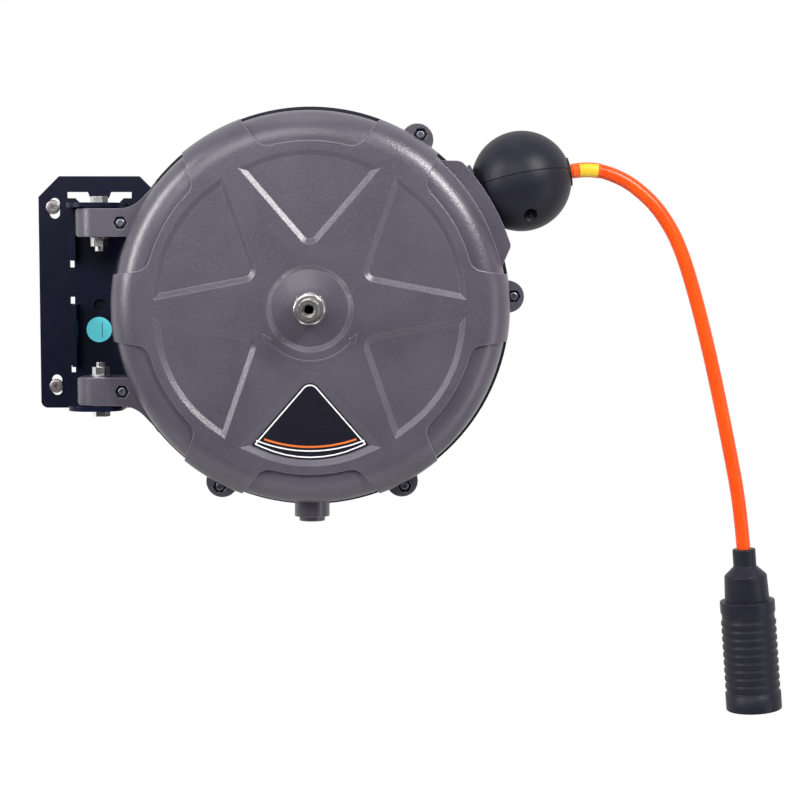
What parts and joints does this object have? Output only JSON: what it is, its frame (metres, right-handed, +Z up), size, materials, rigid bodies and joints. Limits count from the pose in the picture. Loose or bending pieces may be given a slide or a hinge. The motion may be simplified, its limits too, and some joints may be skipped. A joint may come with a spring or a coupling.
{
  "type": "hose reel",
  "caption": "Wall-mounted air hose reel: round housing swivelling on a bracket, spring-wound drum, hose out through a rubber ball stop to a ribbed coupler grip.",
  "frame": {"origin": "centre of the wall plate's back face", "axes": "+Y into the wall, +Z up, the reel's face looks along -Y; the bracket's pivot axis is along Z"},
  "size_m": [0.6462, 0.1303, 0.5206],
  "materials": {
    "plate": "satin, black",
    "bracket": "satin, black",
    "chrome": "polished",
    "zinc": "zinc plated",
    "bearing": "plain",
    "grey_shell": "moulded, dark grey, satin",
    "black_rubber": "matte black",
    "brass": "machined",
    "drum_plastic": "moulded",
    "spring_steel": "blued",
    "orange_hose": "translucent orange",
    "black_plastic": "moulded, black",
    "yellow_band": "printed band, yellow"
  },
  "bodies": {
    "wall": {"wall_plate": "plate", "swivel_bracket": "bracket", "pivot_bolts": "chrome", "pivot_nuts": "chrome", "pivot_washers": "zinc"},
    "housing": {"pivot_bushes": "bearing", "front_shell": "grey_shell", "rear_shell": "grey_shell", "rim_seal": "black_rubber", "shell_screws": "chrome", "shell_nuts": "zinc", "hub_shaft": "brass", "shaft_nut": "zinc", "inlet_fitting": "chrome", "power_spring": "spring_steel", "hose_lead": "orange_hose", "roller_pins": "zinc", "outlet_throat": "black_plastic", "latch_cap": "black_plastic", "latch_spring": "spring_steel", "ball_upper": "black_rubber", "ball_lower": "black_rubber", "ball_screws": "chrome", "ball_collar": "black_plastic", "free_hose": "orange_hose", "marker_band": "yellow_band", "grip_sleeve": "black_rubber", "hose_ferrule": "zinc", "coupler_body": "brass", "coupler_barrel": "brass", "coupler_seal": "black_rubber", "coupler_spring": "spring_steel"},
    "drum": {"drum_flange_front": "drum_plastic", "drum_flange_rear": "drum_plastic", "latch_catches": "drum_plastic", "drum_core": "drum_plastic", "drum_bushes": "bearing", "spring_cover": "zinc", "swivel_block": "brass", "swivel_seals": "black_rubber", "hose_tail": "brass", "hose_windings": "orange_hose"},
    "roller_upper": {"guide_roller_upper": "bearing"},
    "roller_lower": {"guide_roller_lower": "bearing"},
    "latch": {"latch_plunger": "zinc"},
    "collar": {"coupler_collar": "zinc"}
  },
  "joints": [
    {"name": "bracket_swivel", "type": "hinge", "parent": "wall", "child": "housing", "pos_m": [0.0055, -0.046, -0.011], "axis": [0, 0, -1], "range_deg": [0, 135]},
    {"name": "drum_spin", "type": "hinge", "parent": "housing", "child": "drum", "pos_m": [0.1855, -0.046, -0.011], "axis": [0, 1, 0], "range_deg": [0, 5400], "stiffness_Nm_per_rad": 0.015, "springref_deg": -1145.92, "deforming": ["power_spring"]},
    {"name": "upper_roller_spin", "type": "hinge", "parent": "housing", "child": "roller_upper", "pos_m": [0.31386, -0.046, 0.09235], "axis": [0, 1, 0], "continuous": true},
    {"name": "lower_roller_spin", "type": "hinge", "parent": "housing", "child": "roller_lower", "pos_m": [0.32371, -0.046, 0.06437], "axis": [0, 1, 0], "continuous": true},
    {"name": "latch_slide", "type": "slide", "parent": "housing", "child": "latch", "axis": [0, 0, 1], "range_m": [0, 0.006], "stiffness_N_per_m": 200, "springref_m": -0.01, "deforming": ["latch_spring"]},
    {"name": "collar_slide", "type": "slide", "parent": "housing", "child": "collar", "axis": [-0.0784, 0, 0.9969], "range_m": [0, 0.005], "stiffness_N_per_m": 600, "springref_m": -0.01, "deforming": ["coupler_spring"]}
  ]
}
